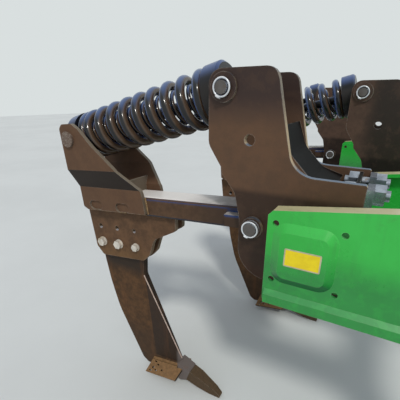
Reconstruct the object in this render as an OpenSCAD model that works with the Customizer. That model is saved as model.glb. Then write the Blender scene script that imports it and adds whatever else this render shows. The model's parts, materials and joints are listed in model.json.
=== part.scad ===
// Mounted three-leg subsoiler whose legs trip against coil springs and reset.
// Millimetres. X points forward, Y to the left, Z up, and the floor is z = 0.
// A leg unit is drawn about its own pivot: x and z from the pivot, y from its middle plane.

/* [Layout] */
// Distance between the middle planes of the two outer legs
leg_spacing = 1600; // [1560:10:1700]
// How far the middle leg stands ahead of the outer legs
stagger = 305; // [290:5:320]
// Depth of a point's tip below the leg pivot
leg_drop = 964; // [950:1:980]

/* [Leg bracket] */
// Thickness of a bracket plate
plate_t = 20; // [15:1:24]
// Gap between the two plates of a bracket
plate_gap = 200; // [196:1:206]
// Height of the bracket's top edge above the pivot
bracket_top = 449; // [445:1:460]
// Height of the upper foot's top edge above the pivot
foot_top = 168; // [160:1:175]
// Depth of the lower foot's bottom edge below the pivot
foot_bottom = 178; // [170:1:185]
// Radius of the empty shear bolt hole in a bracket plate
spare_hole_r = 16; // [12:1:18]

/* [Pins] */
// Diameter of the leg's pivot pin
pivot_pin_d = 40; // [34:1:46]
// Diameter of the pins at the two ends of a spring
spring_pin_d = 36; // [30:1:40]
// Radial clearance of a pin in its bore
pin_fit = 0.05; // [0.02:0.01:0.1]

/* [Arm] */
// Width of the arm's box section
arm_w = 110; // [100:1:120]
// Height of the arm's box section
arm_h = 84; // [80:1:92]
// Distance from the pivot back to the arm's rear end
arm_back = 835; // [825:1:845]
// Wall of the arm's box section
arm_wall = 10; // [6:1:14]
// Slope of the arm at rest, its rear end low, in degrees
arm_slope = 3.9; // [3.5:0.1:4.3]

/* [Ears] */
// Thickness of an ear plate
ear_t = 16; // [12:1:18]
// Gap between the upper parts of the two ears
ear_gap = 198; // [196:1:206]
// Place of the rear spring pin behind the pivot, along the arm
ear_pin_back = 791; // [785:1:797]
// Height of the rear spring pin above the arm's middle line
ear_pin_up = 274; // [268:1:280]

/* [Leg] */
// Thickness of the shank
shank_t = 30; // [26:1:36]
// Thickness of a cheek plate
cheek_t = 20; // [16:1:24]
// Distance between the leg bolts
leg_bolt_pitch = 102; // [98:1:104]
// Diameter of the two larger leg bolts
leg_bolt_d = 24; // [20:1:26]
// Width of the point bar
point_w = 58; // [50:1:62]
// Distance from the leg's middle plane to a wing's outer edge
wing_y = 80; // [74:1:88]
// Thickness of a wing
wing_t = 12; // [10:1:16]

/* [Springs] */
// Mean diameter of a coil spring
coil_d = 165; // [155:1:166]
// Diameter of the spring wire
wire_d = 26; // [20:1:27]
// Turns of a spring from seat to seat
coil_turns = 10.5; // [9:0.5:12]
// Diameter of the guide rod inside a spring
guide_rod_d = 40; // [34:1:44]
// Outer diameter of the guide tube inside a spring
guide_tube_d = 82; // [78:1:90]
// Wall of the guide tube
guide_tube_wall = 8; // [6:1:9]

/* [Frame] */
// Side of a square toolbar
bar_w = 150; // [140:2:160]
// Distance from the leg pivot forward to its toolbar's rear face
bar_x = 143; // [140:1:146]
// Height of a toolbar's top face above the leg pivot
bar_top = 55; // [50:1:60]
// Wall of the toolbars and of the front beam
bar_wall = 10; // [6:1:14]
// Distance from a leg's middle plane to the frame plates beside it
side_y = 240; // [225:1:255]
// Thickness of a frame plate
side_t = 12; // [10:1:15]
// Distance from the outer pivots to the frame plates' front end
side_front = 1000; // [990:5:1040]
// Distance from the outer pivots to the front beam's rear face
beam_x = 820; // [800:5:840]
// Width of a frame plate's top flange
flange_w = 44; // [35:1:50]
// Height of the raised field of a frame plate
field_rise = 14; // [8:1:18]

/* [Hitch] */
// Distance between the shoulders of the two lower hitch pins
hitch_span = 965; // [900:5:1000]
// Diameter of a lower hitch pin
hitch_pin_d = 36.6; // [28:0.1:37]
// Height from the lower hitch pins up to the top link hole
mast_h = 685; // [610:5:700]
// Diameter of the top link hole
top_pin_d = 32; // [25:1:32]
// Distance from the outer pivots forward to the lower hitch pins
hitch_x = 1095; // [1080:5:1110]
// Height of the lower hitch pins above the floor
hitch_z = 620; // [600:5:640]

/* [Depth wheels] */
// Outer diameter of a depth wheel's tyre
tyre_d = 600; // [560:5:620]
// Width of a depth wheel's tyre
tyre_w = 185; // [160:5:200]
// Diameter of a depth wheel's rim
rim_d = 368; // [330:1:380]
// Side of a depth wheel's square leg
wheel_leg_w = 80; // [70:1:90]
// Wall of a depth wheel's square leg
wheel_leg_wall = 8; // [5:1:10]
// Diameter of a depth wheel's stub axle
stub_d = 50; // [40:1:60]

/* [Hidden] */
units = ["right", "centre", "left"];
$fn = 48;

plate_y = plate_gap / 2;
plate_out = plate_y + plate_t;
tip_z = -leg_drop;
seat_gap = 0.3;

// Where the units stand; the origin is under the middle of the whole machine
ear_rear_top = 310;
wheel_x = beam_x + bar_w / 2;
tyre_r = tyre_d / 2;
rear_end = from_arm([-arm_back, ear_rear_top]).x;
front_end = max(hitch_x + 50, wheel_x + tyre_r);
pivot_x = -(rear_end + front_end) / 2;
unit_x = [0, stagger, 0];
unit_y = [-leg_spacing / 2, 0, leg_spacing / 2];

bar_front = bar_x + bar_w;

// The spring's line runs from the front pin in the bracket to the rear pin in the ears
front_pin = [-110, 400];
ear_pin = [-ear_pin_back, ear_pin_up];
rear_pin = from_arm(ear_pin);
spring_run = rear_pin - front_pin;
spring_len = norm(spring_run);
spring_tilt = atan2(-spring_run.y, -spring_run.x);
spring_pin_r = spring_pin_d / 2;
// The two drums that seat a spring: how far each reaches behind and ahead of its own pin, along the spring
rear_drum = [35, 22];
front_drum = [33, 91];
drum_r = ear_gap / 2 - 2.5;

bar_bottom = bar_top - bar_w;
side_top = 150;
side_bottom = -165;
side_rear = 82;
plate_mid = (leg_spacing / 2) - side_y;
outer_plate = (leg_spacing / 2) + side_y;

// Functions for outlines: a corner is [x, z, radius]
function unit2(v) = v / norm(v);
function arc_count(sweep, r) = max(2, ceil(abs(sweep) * r / 700));
function round_corner(a, b, c, r) =
    let (u = unit2(a - b), w = unit2(c - b))
    let (half = acos(u * w) / 2, reach = r / tan(half))
    let (mid = b + unit2(u + w) * r / sin(half), p = b + u * reach - mid, q = b + w * reach - mid)
    let (start = atan2(p.y, p.x), turn = (atan2(q.y, q.x) - start + 540) % 360 - 180)
    let (n = arc_count(turn, r))
    [for (i = [0:n]) mid + r * [cos(start + turn * i / n), sin(start + turn * i / n)]];
function flat(c) = [c.x, c.y];
function rounded(c) = [
    for (i = [0:len(c) - 1])
        let (prev = flat(c[(i + len(c) - 1) % len(c)]), next = flat(c[(i + 1) % len(c)]))
        each c[i].z > 0 ? round_corner(prev, flat(c[i]), next, c[i].z) : [flat(c[i])]
];

// A point given along and above the arm, in the unit's upright frame
function from_arm(p) = [
    p.x * cos(arm_slope) - p.y * sin(arm_slope),
    p.x * sin(arm_slope) + p.y * cos(arm_slope)
];

module upright(outline, y0, y1) {
    translate([0, y1, 0]) rotate([90, 0, 0]) linear_extrude(y1 - y0) polygon(outline);
}
module along_x(outline, x0, x1) {
    translate([x0, 0, 0]) rotate([90, 0, 90]) linear_extrude(x1 - x0) polygon(outline);
}
module cross_pin(x, z, r, y0, y1) {
    translate([x, y1, z]) rotate([90, 0, 0]) cylinder(r = r, h = y1 - y0);
}
module hex_y(x, z, across, y0, y1) {
    translate([x, y1, z]) rotate([90, 0, 0]) cylinder(d = across / cos(30), h = y1 - y0, $fn = 6);
}
module box(x, y, z) {
    translate([x[0], y[0], z[0]]) cube([x[1] - x[0], y[1] - y[0], z[1] - z[0]]);
}
module both_sides() {
    children();
    mirror([0, 1, 0]) children();
}
module place(k) {
    translate([pivot_x + unit_x[k], unit_y[k], leg_drop]) children();
}
module on_frame() {
    translate([pivot_x, 0, leg_drop]) children();
}
module on_arm() {
    rotate([0, -arm_slope, 0]) children();
}
// Lays a child's +X along the spring, from the given pin towards the rear
module on_spring(pin) {
    translate([pin.x, 0, pin.y]) rotate([0, 180 - spring_tilt, 0]) children();
}

// Bracket: two profiled plates, cross lugs at the feet and the stop under the arm
boss_r = 40;
boss_t = 8;
pivot_collar_r = 33;
pivot_collar_t = 14;
stud_y = 72;
stud_z = [136, bar_bottom - 41];
stud_r = 15;
lug_x = [263, 273];
stop_x = [-48, -16];
stop_h = 40;
bracket_corners = [
    [-158, bracket_top, 40], [39, bracket_top, 35], [104, foot_top + 3, 78], [bar_front, foot_top, 5],
    [bar_front, bar_top, 3], [bar_x, bar_top, 0], [bar_x, bar_bottom, 0], [bar_front, bar_bottom, 3],
    [bar_front, -foot_bottom, 10], [-47, -foot_bottom, 100], [-47, 20, 120], [-66, 100, 40],
    [-111, 156, 8], [-113, 174, 8], [-158, 243, 40]
];
// The bent web between the two plates, just inside their front edges
web_corners = [
    [48, 300, 0], [60, 304, 0], [88, 229, 60], [150, 165, 60],
    [215, 144, 0], [211, 131, 0], [145, 152, 60], [77, 222, 60]
];
module bracket(k) {
    color("#4d3f33") place(k) difference() {
        union() {
            both_sides() {
                upright(rounded(bracket_corners), plate_y, plate_out);
                cross_pin(front_pin.x, front_pin.y, boss_r, plate_out - 1, plate_out + boss_t);
                cross_pin(0, 0, pivot_collar_r, plate_out - 1, plate_out + pivot_collar_t);
            }
            box(lug_x, [-plate_y - 1, plate_y + 1], [bar_top, foot_top - 8]);
            box(lug_x, [-plate_y - 1, plate_y + 1], [8 - foot_bottom, bar_bottom]);
            on_arm() box(stop_x, [-plate_y - 1, plate_y + 1],
                         [-arm_h / 2 - seat_gap - stop_h, -arm_h / 2 - seat_gap]);
            box([20, 34], [-plate_y - 1, plate_y + 1], [-foot_bottom, 8 - foot_bottom]);
            upright(rounded(web_corners), -plate_y - 1, plate_y + 1);
        }
        cross_pin(front_pin.x, front_pin.y, spring_pin_r + pin_fit, -plate_out - 20, plate_out + 20);
        cross_pin(0, 0, pivot_pin_d / 2 + pin_fit, -plate_out - 20, plate_out + 20);
        cross_pin(-26, 261, spare_hole_r, -plate_out - 20, plate_out + 20);
        for (y = [-stud_y, stud_y], z = stud_z)
            translate([lug_x[0] - 5, y, z]) rotate([0, 90, 0]) cylinder(r = stud_r + pin_fit, h = 20);
    }
}

// Pins: the pivot pin and the front spring pin, each with its ring
pin_ring_t = 6;
linch_r = 22.5;
linch_wire_r = 2;
pivot_pin_out = plate_out + pivot_collar_t + pin_ring_t + 12;
spring_pin_out = plate_out + boss_t + 14;
module pin_ring(x, z, r_pin, r_ring, y) {
    for (s = [-1, 1]) difference() {
        cross_pin(x, z, r_ring, s > 0 ? y : -y - pin_ring_t, s > 0 ? y + pin_ring_t : -y);
        cross_pin(x, z, r_pin - 1, -y - 2 * pin_ring_t, y + 2 * pin_ring_t);
    }
}
module pins(k) {
    linch_y = -(spring_pin_out - 10);
    color("silver") place(k) {
        cross_pin(0, 0, pivot_pin_d / 2, -pivot_pin_out, pivot_pin_out);
        pin_ring(0, 0, pivot_pin_d / 2, 27, plate_out + pivot_collar_t);
        cross_pin(front_pin.x, front_pin.y, spring_pin_r, -spring_pin_out, plate_out + boss_t + 1);
        cross_pin(front_pin.x, front_pin.y, 29, plate_out + boss_t, plate_out + boss_t + 12);
        translate([front_pin.x, linch_y, front_pin.y]) rotate([0, 60, 0]) {
            cylinder(r = 3.5, h = linch_r * 2 + 6, center = true);
            rotate([90, 0, 0]) rotate_extrude() translate([linch_r, 0]) circle(r = linch_wire_r, $fn = 16);
        }
    }
}

// Studs: four studs with straps that clamp the bracket on its toolbar
strap_t = 18;
strap_y = 44;
nut_t = 27;
nut_w = 50;
module studs(k) {
    strap_x = bar_front;
    color("lightsteelblue") place(k) for (y = [-stud_y, stud_y]) {
        difference() {
            box([strap_x, strap_x + strap_t], y < 0 ? [-plate_out, -strap_y] : [strap_y, plate_out],
                [stud_z[1] - 28, stud_z[0] + 22]);
            for (z = stud_z) translate([strap_x - 2, y, z]) rotate([0, 90, 0])
                cylinder(r = stud_r - 1, h = strap_t + 4);
        }
        for (z = stud_z) translate([0, y, z]) {
            translate([lug_x[0] - nut_t - 12, 0, 0]) rotate([0, 90, 0])
                cylinder(r = stud_r, h = strap_x + strap_t + nut_t + 10 - lug_x[0] + nut_t + 12);
            translate([lug_x[0] - nut_t, 0, 0]) rotate([0, 90, 0])
                cylinder(d = nut_w / cos(30), h = nut_t, $fn = 6);
            translate([strap_x + strap_t - 1, 0, 0]) rotate([0, 90, 0])
                cylinder(d = nut_w / cos(30), h = nut_t, $fn = 6);
        }
    }
}

// Arm: a box section that swings on the pivot between the bracket plates
arm_front = 50;
arm_corner = 10;
arm_lug_x = [-115, 0];
arm_lug_z = [-23, 18];
arm_boss_r = 39;
running = 1;
module arm(k) {
    w = arm_w / 2;
    h = arm_h / 2;
    section = rounded([[-w, -h, arm_corner], [w, -h, arm_corner], [w, h, arm_corner], [-w, h, arm_corner]]);
    color("#3a2f28") place(k) on_arm() difference() {
        union() {
            difference() {
                along_x(section, -arm_back + 4, arm_front);
                box([-arm_back + 4 + arm_wall, arm_front + 1], [-w + arm_wall, w - arm_wall],
                    [-h + arm_wall, h - arm_wall]);
            }
            cross_pin(0, 0, arm_boss_r, -plate_y + running, plate_y - running);
            both_sides() box(arm_lug_x, [w - 1, plate_y - 12], arm_lug_z);
        }
        cross_pin(0, 0, pivot_pin_d / 2 + pin_fit, -plate_out, plate_out);
    }
}

// Ears: two joggled plates on the arm's sides that carry the rear spring pin
joggle_z = [68, 150];
ear_low = arm_w / 2;
ear_high = ear_gap / 2;
ear_corners = [
    [-arm_back + 1, -24, 4], [-811, -37, 4], [-477, -30, 4], [-484, 62, 40], [-572, 161, 20],
    [-667, 244, 120], [-729, 312, 30], [-760, 333, 20], [-818, 333, 18], [-arm_back, 316, 14]
];
slot_w = 75;
slot_h = 40;
slots = [[-754, -13], [-598, -13]];
web_x = [-572, -560];
web_top = 100;
module ears(k) {
    out_low = ear_low + ear_t;
    out_high = ear_high + ear_t;
    z0 = -60;
    z1 = 360;
    joggle = [
        [ear_low, z0], [out_low, z0], [out_low, joggle_z[0]], [out_high, joggle_z[1]],
        [out_high, z1], [ear_high, z1], [ear_high, joggle_z[1]], [ear_low, joggle_z[0]]
    ];
    web_y = ear_low + (ear_high - ear_low) * (web_top - joggle_z[0]) / (joggle_z[1] - joggle_z[0]);
    web = [
        [-ear_low, arm_h / 2], [ear_low, arm_h / 2], [ear_low, joggle_z[0]], [web_y, web_top],
        [-web_y, web_top], [-ear_low, joggle_z[0]]
    ];
    color("#4d3c30") place(k) on_arm() {
        difference() {
            union() {
                both_sides() intersection() {
                    upright(rounded(ear_corners), 0, out_high + 1);
                    along_x(joggle, -arm_back - 5, -400);
                }
                along_x(web, web_x[0], web_x[1]);
            }
            cross_pin(-ear_pin_back, ear_pin_up, spring_pin_r + pin_fit, -200, 200);
            both_sides() for (s = slots) {
                box([s.x - (slot_w - slot_h) / 2, s.x + (slot_w - slot_h) / 2],
                    [out_low - 8, out_low + 5], [s.y - slot_h / 2, s.y + slot_h / 2]);
                for (e = [-1, 1]) cross_pin(s.x + e * (slot_w - slot_h) / 2, s.y, slot_h / 2,
                                            out_low - 8, out_low + 5);
            }
        }
    }
}

// Cheeks: two plates under the arm that hold the shank between them
cheek_out = shank_t / 2 + cheek_t;
cheek_corners = [
    [-850, -arm_h / 2, 0], [-841, -236, 12], [-806, -280, 16], [-552, -267, 22], [-512, -230, 40],
    [-480, -154, 60], [-362, -100, 14], [-356, -arm_h / 2, 0]
];
bolt_x = [for (i = [0:2]) -790 + i * leg_bolt_pitch];
bolt_r = [leg_bolt_d / 2, leg_bolt_d / 2, leg_bolt_d / 2 - 2];
spare_z = -128;
bolt_z = -205;
module leg_holes(y) {
    for (i = [0:2]) {
        cross_pin(bolt_x[i], bolt_z, bolt_r[i] + pin_fit, -y, y);
        cross_pin(bolt_x[i], spare_z, bolt_r[i] - 1, -y, y);
    }
}
module cheeks(k) {
    color("#4a3a2e") place(k) on_arm() difference() {
        both_sides() upright(rounded(cheek_corners), shank_t / 2, cheek_out);
        leg_holes(cheek_out + 5);
    }
}

// Shank: a bent blade, narrowed to a cutting shin in front, with the nose that holds the point
nose_w = 62;
nose_rear = -372;
shank_top = from_arm([-832, -62]);
shank_top_front = from_arm([-560, -62]);
// The blade's bends lie between its root under the cheeks and the tip, and stretch with that height
blade_root_z = -300;
blade_drawn_h = 664;
blade_stretch = (leg_drop + blade_root_z) / blade_drawn_h;
bend_r = 400 * blade_stretch;
function bend_z(drop) = blade_root_z - drop * blade_stretch;
shank_corners = [
    [shank_top.x, shank_top.y, 6], [shank_top_front.x, shank_top_front.y, 6], [-551, blade_root_z, 20],
    [-559, bend_z(96), 40], [-365, tip_z + 132, 10], [-366, tip_z + 40, 4], [-578, tip_z + 20, 18],
    [-610, tip_z + 42, 26], [-668, tip_z + 166, 200], [-741, bend_z(342), bend_r],
    [-779, bend_z(190), bend_r], [-798, bend_z(72), 100]
];
nose_corners = [
    [-378, tip_z + 130, 6], [-307, tip_z + 98, 4], [-329, tip_z + 38, 3], [nose_rear, tip_z + 18, 8],
    [nose_rear - 2, tip_z + 60, 4]
];
// Where the grinding of the blade starts, at its top and at its foot, and how thin it gets in front
shin_top = [-552, bend_z(92)];
shin_low = [-519, tip_z + 98];
shin_edge = 5;
module shank(k) {
    h = shank_t / 2;
    color("#54412f") place(k) difference() {
        union() {
            difference() {
                upright(rounded(shank_corners), -h, h);
                both_sides() shin_cut(h);
            }
            upright(rounded(nose_corners), -nose_w / 2, nose_w / 2);
        }
        on_arm() leg_holes(60);
        shank_wing_bolts();
    }
}
// One side's ground face: a flat slab turned about the line where the grinding starts
module shin_cut(h) {
    run = norm(shin_low - shin_top);
    lean = atan2(shin_low.x - shin_top.x, shin_top.y - shin_low.y);
    lean_in = atan((h - shin_edge) / 167);
    translate([shin_top.x, h, shin_top.y]) rotate([0, -lean, 0]) rotate([0, 0, -lean_in])
        translate([0, 0, -run]) cube([260, 30, run]);
}
module shank_wing_bolts() {
    for (x = wing_bolt_x) cross_pin(x, wing_z(x) - wing_bolt_drop, 7, -nose_w, nose_w);
}

// Point: a forged bar that tapers to the tip
point_root_top = [-307, tip_z + 98];
point_root_low = [-329, tip_z + 38];
point_tip = [-150, tip_z];
module point(k) {
    half = point_w / 2;
    side = [
        [point_root_low.x, point_root_low.y, 0], [point_root_top.x, point_root_top.y, 4],
        [-262, tip_z + 82, 30], [point_tip.x - 26, tip_z + 36, 10], [point_tip.x, tip_z + 12, 4],
        [point_tip.x, tip_z, 3], [-205, tip_z + 6, 20]
    ];
    plan = [[-350, -half], [-350, half], [-262, half - 2], [point_tip.x - 1, 15], [point_tip.x + 10, 15],
            [point_tip.x + 10, -15], [point_tip.x - 1, -15], [-262, 2 - half]];
    color("#4a4038") place(k) intersection() {
        upright(rounded(side), -half, half);
        translate([0, 0, tip_z - 5]) linear_extrude(200) polygon(plan);
    }
}

// Wings: a plate on each side of the foot that slopes down outwards
wing_rear = [-534, tip_z + 79];
wing_front = [-349, tip_z + 110];
wing_rise = atan2(wing_front.y - wing_rear.y, wing_front.x - wing_rear.x);
wing_fall = 36;
wing_span = (wing_y - shank_t / 2) / cos(wing_fall);
wing_bolt_x = [-510, -455];
wing_bolt_drop = wing_t + 24;
wing_holes = [[22, 22], [42, 34], [18, 50], [38, 62], [6, 68]];
function wing_z(x) = wing_rear.y + (x - wing_rear.x) * tan(wing_rise);
module wings(k) {
    inner = shank_t / 2;
    leg = 34;
    root = norm(wing_front - wing_rear);
    flat = nose_rear - wing_rear.x - 12;
    color("#7a5a35") place(k) {
        both_sides() difference() {
            translate([wing_rear.x, inner, wing_rear.y]) rotate([0, -wing_rise, 0]) {
                rotate([-wing_fall, 0, 0]) difference() {
                    translate([0, 0, -wing_t]) linear_extrude(wing_t)
                        polygon([[0, 0], [root + 4, 0], [root - 24, wing_span], [-20, wing_span]]);
                    for (hole = wing_holes) translate([hole.x, hole.y, -wing_t / 2]) rotate([0, 0, 14])
                        cube([14, 6, 2 * wing_t], center = true);
                }
                translate([0, 0, -wing_t - leg]) cube([flat, wing_t, leg + wing_t / 2]);
            }
            box([wing_rear.x - 50, nose_rear + 200], [inner - 30, inner], [tip_z - 50, tip_z + 200]);
            box([nose_rear - 10, nose_rear + 200], [inner - 1, nose_w / 2 + pin_fit], [tip_z - 50, tip_z + 200]);
            shank_wing_bolts();
        }
        for (x = wing_bolt_x) {
            z = wing_z(x) - wing_bolt_drop;
            y = inner + wing_t;
            cross_pin(x, z, 7 - pin_fit, -y - 1, y + 14);
            hex_y(x, z, 22, y, y + 12);
            hex_y(x, z, 22, -y - 10, -y);
        }
    }
}

// Leg bolts and the rear spring pin
module leg_bolts(k) {
    color("gainsboro") place(k) on_arm() {
        for (i = [0:2]) {
            r = bolt_r[i];
            cross_pin(bolt_x[i], bolt_z, r, -cheek_out - 1, cheek_out + 2.2 * r);
            cross_pin(bolt_x[i], bolt_z, 1.85 * r, -cheek_out - 4, -cheek_out);
            cross_pin(bolt_x[i], bolt_z, 1.85 * r, cheek_out, cheek_out + 4);
            hex_y(bolt_x[i], bolt_z, 3 * r, -cheek_out - 4 - 1.3 * r, -cheek_out - 3);
            hex_y(bolt_x[i], bolt_z, 3 * r, cheek_out + 3, cheek_out + 4 + 1.6 * r);
        }
        ear_face = ear_high + ear_t;
        cross_pin(-ear_pin_back, ear_pin_up, spring_pin_r, -ear_face - 1, ear_face + 1);
        both_sides() cross_pin(-ear_pin_back, ear_pin_up, 31, ear_face, ear_face + 9);
    }
}

// Springs: a helix of round wire between the two caps
steps_per_turn = 16;
wire_sides = 8;
coil_start = front_drum[1];
coil_end = spring_len - rear_drum[1];
coil_phase = 24;
// Closed turns at the front and rear end, and how far the wire advances in one of them
end_turns = [0.5, 2];
end_advance = [8, wire_d * 1.02];
coil_pitch = (coil_end - coil_start - wire_d - 2 * seat_gap - end_turns * end_advance)
    / (coil_turns - end_turns[0] - end_turns[1]);
function coil_at(t) =
    let (rear = coil_turns - end_turns[1])
    coil_start + seat_gap + wire_d / 2 + min(t, end_turns[0]) * end_advance[0]
    + max(0, min(t, rear) - end_turns[0]) * coil_pitch + max(0, t - rear) * end_advance[1];
module spring(k) {
    rings = round(coil_turns * steps_per_turn);
    points = [
        for (i = [0:rings], j = [0:wire_sides - 1])
            let (turn = 360 * i / steps_per_turn + coil_phase, side = 360 * j / wire_sides,
                 r = coil_d / 2 + wire_d / 2 * cos(side))
            [coil_at(i / steps_per_turn) + wire_d / 2 * sin(side), r * cos(turn), r * sin(turn)]
    ];
    faces = [
        for (i = [0:rings - 1], j = [0:wire_sides - 1])
            let (a = i * wire_sides + j, b = i * wire_sides + (j + 1) % wire_sides)
            [a, b, b + wire_sides, a + wire_sides],
        [for (j = [wire_sides - 1:-1:0]) j],
        [for (j = [0:wire_sides - 1]) rings * wire_sides + j]
    ];
    color("#15161c") place(k) on_spring(front_pin) polyhedron(points, faces);
}

// Front guide: eye on the bracket's pin, drum that seats the spring and the rod inside it
eye_r = 34;
rod_reach = 520;
module cylinder_x(r, x0, x1) {
    translate([x0, 0, 0]) rotate([0, 90, 0]) cylinder(r = r, h = x1 - x0);
}
// A drum from x0 to x1, chamfered at x0
module drum(x0, x1) {
    translate([x0, 0, 0]) rotate([0, 90, 0]) rotate_extrude()
        polygon([[0, 0], [drum_r - 8, 0], [drum_r, 8], [drum_r, x1 - x0], [0, x1 - x0]]);
}
module front_guide(k) {
    color("#1d1d20") place(k) on_spring(front_pin) difference() {
        union() {
            rotate([90, 0, 0]) cylinder(r = eye_r, h = plate_gap - 4, center = true);
            drum(front_drum[0], front_drum[1]);
            cylinder_x(guide_rod_d / 2, front_drum[1] - 1, rod_reach);
        }
        rotate([90, 0, 0]) cylinder(r = spring_pin_r + pin_fit, h = 300, center = true);
    }
}

// Rear guide: a drum on the ears' pin that seats the spring, with the tube that takes the rod
tube_reach = 345;
module rear_guide(k) {
    color("#1d1d20") place(k) translate([rear_pin.x, 0, rear_pin.y]) rotate([0, -spring_tilt, 0])
    difference() {
        union() {
            drum(-rear_drum[0], rear_drum[1]);
            cylinder_x(guide_tube_d / 2, rear_drum[1] - 1, tube_reach);
        }
        rotate([90, 0, 0]) cylinder(r = spring_pin_r + pin_fit, h = 300, center = true);
        cylinder_x(guide_tube_d / 2 - guide_tube_wall, rear_drum[1] + 8, tube_reach + 5);
    }
}

// Frame plates: folded plates that run from the toolbars to the front beam
flange_from = 94;
rise_end = 410;
field = [99, 262, -95, 80];
field_slope = 22;
mount_hole_r = 8.5;
mount_holes = [[104, 74], [269, 74], [104, -91], [269, -91]];
side_outline = [
    [side_rear, side_bottom, 6], [side_rear, 94, 0], [flange_from, 107, 0], [rise_end, side_top, 60],
    [side_front, side_top, 10], [side_front, side_bottom, 10]
];
flange_outline = [
    [flange_from, 107], [rise_end, side_top], [side_front - 12, side_top],
    [side_front - 12, side_top - side_t], [rise_end, side_top - side_t], [flange_from, 107 - side_t]
];
// A frame plate with its outer face at y = 0 and its flange towards +y
module side_plate(outer) {
    difference() {
        union() {
            upright(rounded(side_outline), 0, side_t);
            upright(flange_outline, 0, flange_w);
            along_x([[0, -126], [-side_t, -138], [-side_t, side_bottom], [0, side_bottom]],
                    side_rear + 6, side_front - 10);
            if (outer) raised_field();
        }
        box([beam_x, beam_x + bar_w], [-50, 50], [bar_bottom, bar_top]);
        for (h = mount_holes) cross_pin(h.x, h.y, mount_hole_r, -30, 30);
    }
}
module raised_field() {
    hull() {
        for (x = [field[0] + 40, field[1] - 40], z = [field[2] + 40, field[3] - 40])
            translate([x, 1, z]) rotate([90, 0, 0]) cylinder(r = 40, h = 1, $fn = 32);
        for (x = [field[0] + 40, field[1] - 40], z = [field[2] + 40, field[3] - 40])
            translate([x, -field_rise + 1, z]) rotate([90, 0, 0])
                cylinder(r = 40 - field_slope, h = 1, $fn = 32);
    }
}
module side_plates(s) {
    color("#3fbf4f") on_frame() mirror([0, s > 0 ? 1 : 0, 0]) {
        translate([0, -outer_plate, 0]) side_plate(true);
        translate([0, -plate_mid, 0]) mirror([0, 1, 0]) side_plate(false);
    }
}

// A square tube along Y, its lower rear edge on the Y axis
module square_tube(y0, y1) {
    difference() {
        box([0, bar_w], [y0, y1], [0, bar_w]);
        box([bar_wall, bar_w - bar_wall], [y0 - 1, y1 + 1], [bar_wall, bar_w - bar_wall]);
    }
}

// Toolbars: one across each leg's bay, between the frame plates
module toolbars() {
    bay = side_y - side_t;
    color("#2f9e3f") on_frame() {
        for (k = [0, 2]) translate([bar_x, unit_y[k], bar_bottom]) square_tube(-bay, bay);
        translate([bar_x + stagger, 0, bar_bottom]) square_tube(-plate_mid, plate_mid);
    }
}

// Front beam, with the sleeves of the depth wheels' legs on its ends
wheel_leg_y = outer_plate + 80;
sleeve_w = wheel_leg_w + 30;
sleeve_gap = 0.3;
sleeve_top = 160;
module front_beam() {
    leg = wheel_leg_w + 2 * sleeve_gap;
    color("#2f9e3f") on_frame() {
        translate([beam_x, 0, bar_bottom]) square_tube(-wheel_leg_y + sleeve_w / 2, wheel_leg_y - sleeve_w / 2);
        both_sides() difference() {
            box([wheel_x - sleeve_w / 2, wheel_x + sleeve_w / 2],
                [wheel_leg_y - sleeve_w / 2, wheel_leg_y + sleeve_w / 2], [-sleeve_top - 20, sleeve_top]);
            box([wheel_x - leg / 2, wheel_x + leg / 2], [wheel_leg_y - leg / 2, wheel_leg_y + leg / 2],
                [-sleeve_top - 30, sleeve_top + 10]);
        }
    }
}

// Mast: two plates up to the top link hole, braced back on the beam
mast_t = 20;
mast_gap = 56;
top_z = hitch_z + mast_h - leg_drop;
module mast() {
    outline = [
        [beam_x, bar_top, 0], [beam_x + bar_w, bar_top, 0], [hitch_x + 20, top_z - 45, 30],
        [hitch_x + 20, top_z + 38, 38], [hitch_x - 60, top_z + 38, 38], [beam_x, bar_top + 70, 30]
    ];
    color("#2f9e3f") on_frame() difference() {
        union() {
            both_sides() upright(rounded(outline), mast_gap / 2, mast_gap / 2 + mast_t);
            box([beam_x + 20, beam_x + 40], [-mast_gap, mast_gap], [bar_top, bar_top + 60]);
            box([beam_x + 110, beam_x + 128], [-mast_gap, mast_gap], [bar_top, bar_top + 90]);
        }
        cross_pin(hitch_x - 20, top_z, top_pin_d / 2, -100, 100);
    }
}

// Lower hitch: a pair of plates at each side with its pin
hitch_t = 25;
hitch_in = 110;
shoulder_t = 8;
low_z = hitch_z - leg_drop;
module lower_hitch() {
    front = beam_x + bar_w;
    outline = [
        [front, bar_top, 0], [front + 40, bar_top, 30], [hitch_x + 50, low_z + 30, 40],
        [hitch_x + 50, low_z - 48, 45], [hitch_x - 50, low_z - 48, 45], [hitch_x - 60, low_z + 60, 60],
        [front, bar_bottom, 0]
    ];
    color("#2f9e3f") on_frame() both_sides() for (y = [hitch_span / 2 - shoulder_t - hitch_t, hitch_span / 2 - hitch_in])
        difference() {
            upright(rounded(outline), y, y + hitch_t);
            cross_pin(hitch_x, low_z, hitch_pin_d / 2 + pin_fit, y - 5, y + hitch_t + 5);
        }
}
module hitch_pins() {
    color("silver") on_frame() both_sides() difference() {
        union() {
            cross_pin(hitch_x, low_z, hitch_pin_d / 2, hitch_span / 2 - hitch_in - 10, hitch_span / 2 + 72);
            cross_pin(hitch_x, low_z, 28, hitch_span / 2 - hitch_in - 14, hitch_span / 2 - hitch_in);
            cross_pin(hitch_x, low_z, 28, hitch_span / 2 - shoulder_t, hitch_span / 2);
        }
        translate([hitch_x, hitch_span / 2 + 56, low_z]) cylinder(r = 6, h = 80, center = true);
    }
}

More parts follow.
